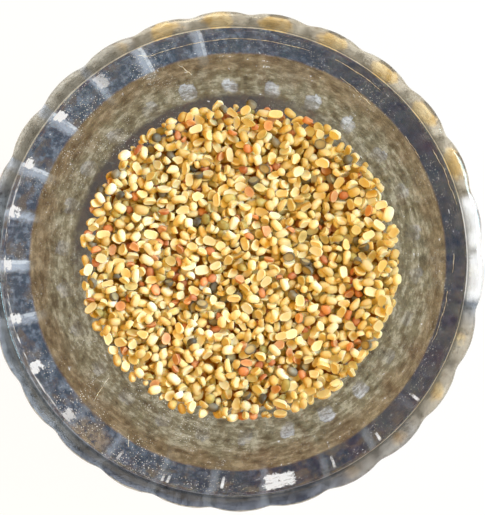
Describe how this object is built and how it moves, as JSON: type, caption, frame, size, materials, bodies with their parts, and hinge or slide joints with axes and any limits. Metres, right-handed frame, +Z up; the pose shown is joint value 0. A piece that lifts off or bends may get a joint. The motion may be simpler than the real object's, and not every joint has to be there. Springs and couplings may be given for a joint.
{
  "type": "dish of dry lentils",
  "caption": "Round clear glass bowl with a fluted outside and a scalloped rim, partly filled with an almost level layer of mixed dry split lentils.",
  "frame": {"origin": "centre of the foot, on the surface that the dish stands on", "axes": "+Z up, out of the bowl's mouth; +X to the picture's right and +Y to its top"},
  "size_m": [0.1496, 0.1496, 0.062],
  "materials": {
    "clear_glass": "clear pressed glass with a faint smoky tint, smooth inside, fluted outside",
    "dry_lentils": "dry split pulses, mostly yellow, with cream, salmon, olive and grey ones, matt with a soft sheen"
  },
  "bodies": {
    "root": {"glass_bowl": "clear_glass", "lentils": "dry_lentils"}
  },
  "joints": []
}
